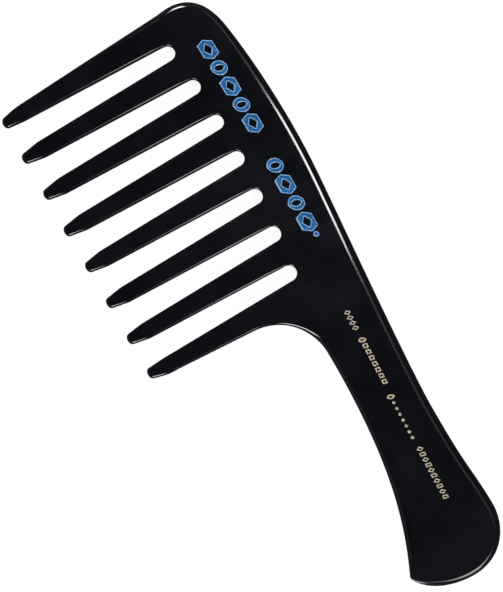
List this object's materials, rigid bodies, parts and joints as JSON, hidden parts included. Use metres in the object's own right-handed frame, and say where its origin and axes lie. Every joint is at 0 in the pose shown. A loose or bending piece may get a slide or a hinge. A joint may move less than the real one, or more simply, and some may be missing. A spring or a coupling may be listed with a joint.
{
  "type": "wide tooth handle comb",
  "caption": "Wide tooth comb with blunt tapered teeth along a curved spine and a flared handle, with coloured foil ornaments stamped into its front face.",
  "frame": {"origin": "on the flat back face, in the middle of the spine above the middle slot", "axes": "+X along the spine towards the handle, +Y from the tooth tips towards the spine, +Z out of the stamped front face"},
  "size_m": [0.2202, 0.0862, 0.0058],
  "materials": {
    "polished_black": "hand-polished black hard rubber, high gloss",
    "blue_foil": "hot-stamped blue foil, satin, lighter at its edges",
    "gold_foil": "hot-stamped pale gold foil, satin"
  },
  "bodies": {
    "root": {"comb_body": "polished_black", "blue_foil_1_1": "blue_foil", "blue_foil_1_2": "blue_foil", "blue_foil_1_3": "blue_foil", "blue_foil_1_4": "blue_foil", "blue_foil_1_5": "blue_foil", "blue_foil_2_1": "blue_foil", "blue_foil_2_2": "blue_foil", "blue_foil_2_3": "blue_foil", "blue_foil_2_4": "blue_foil", "blue_foil_dot": "blue_foil", "gold_foil_1_1": "gold_foil", "gold_foil_1_2": "gold_foil", "gold_foil_1_3": "gold_foil", "gold_foil_1_4": "gold_foil", "gold_foil_2_1": "gold_foil", "gold_foil_2_2": "gold_foil", "gold_foil_2_3": "gold_foil", "gold_foil_2_4": "gold_foil", "gold_foil_2_5": "gold_foil", "gold_foil_2_6": "gold_foil", "gold_foil_2_7": "gold_foil", "gold_foil_2_8": "gold_foil", "gold_foil_3_1": "gold_foil", "gold_foil_3_2": "gold_foil", "gold_foil_3_3": "gold_foil", "gold_foil_3_4": "gold_foil", "gold_foil_3_5": "gold_foil", "gold_foil_3_6": "gold_foil", "gold_foil_3_7": "gold_foil", "gold_foil_3_8": "gold_foil", "gold_foil_4_1": "gold_foil", "gold_foil_4_2": "gold_foil", "gold_foil_4_3": "gold_foil", "gold_foil_4_4": "gold_foil", "gold_foil_4_5": "gold_foil", "gold_foil_4_6": "gold_foil", "gold_foil_4_7": "gold_foil", "gold_foil_4_8": "gold_foil", "gold_foil_4_9": "gold_foil", "gold_foil_4_10": "gold_foil"}
  },
  "joints": []
}
